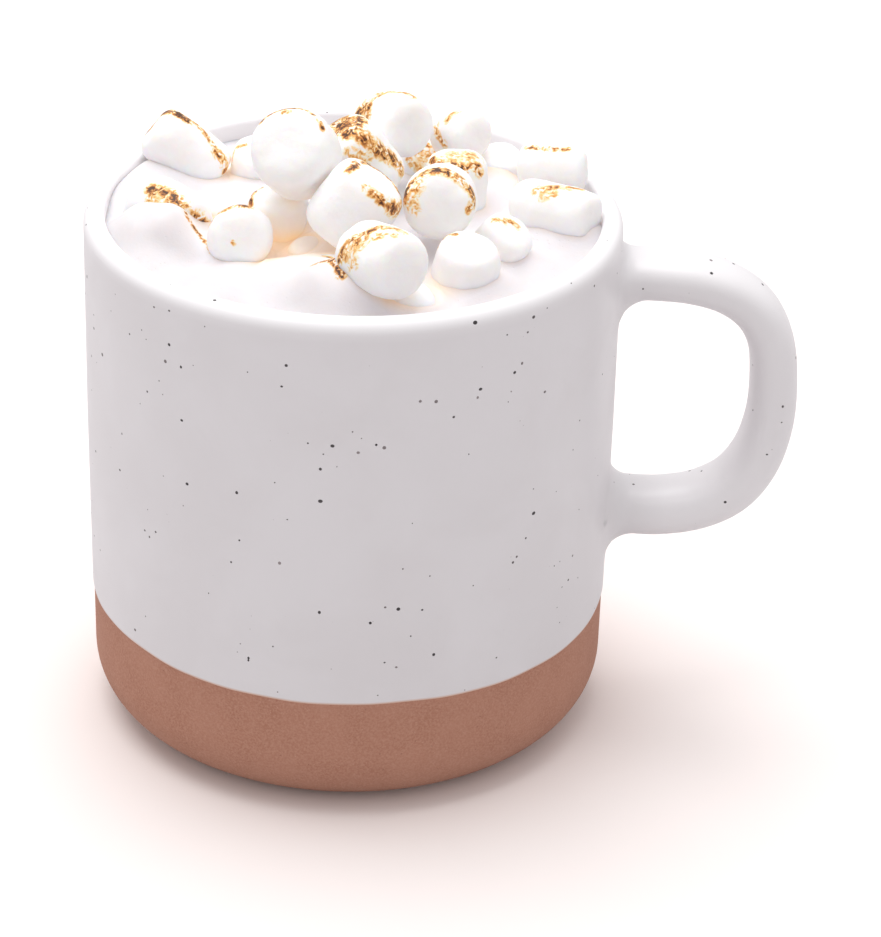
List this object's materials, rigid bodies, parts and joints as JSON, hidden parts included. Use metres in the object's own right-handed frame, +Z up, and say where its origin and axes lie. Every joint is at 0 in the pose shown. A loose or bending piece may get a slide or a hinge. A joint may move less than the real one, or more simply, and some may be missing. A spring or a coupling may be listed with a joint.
{
  "type": "hot chocolate with toasted marshmallows in a mug",
  "caption": "Mug of hot chocolate: froth-topped drink heaped with toasted mini marshmallows in a speckled stoneware mug with a loop handle and a bare clay foot.",
  "frame": {"origin": "middle of the mug's flat base, on the axis of the cup", "axes": "+Z up along the cup's axis, +X towards the handle"},
  "size_m": [0.121, 0.09, 0.1123],
  "materials": {
    "glaze": "satin",
    "froth": "satin",
    "marshmallow": "matte"
  },
  "bodies": {
    "root": {"mug": "glaze", "hot_chocolate": "froth", "marshmallow_01": "marshmallow", "marshmallow_02": "marshmallow", "marshmallow_03": "marshmallow", "marshmallow_04": "marshmallow", "marshmallow_05": "marshmallow", "marshmallow_06": "marshmallow", "marshmallow_07": "marshmallow", "marshmallow_08": "marshmallow", "marshmallow_09": "marshmallow", "marshmallow_10": "marshmallow", "marshmallow_11": "marshmallow", "marshmallow_12": "marshmallow", "marshmallow_13": "marshmallow", "marshmallow_14": "marshmallow", "marshmallow_15": "marshmallow", "marshmallow_16": "marshmallow", "marshmallow_17": "marshmallow", "marshmallow_18": "marshmallow", "marshmallow_19": "marshmallow", "marshmallow_20": "marshmallow", "marshmallow_21": "marshmallow", "marshmallow_22": "marshmallow", "marshmallow_23": "marshmallow"}
  },
  "joints": []
}
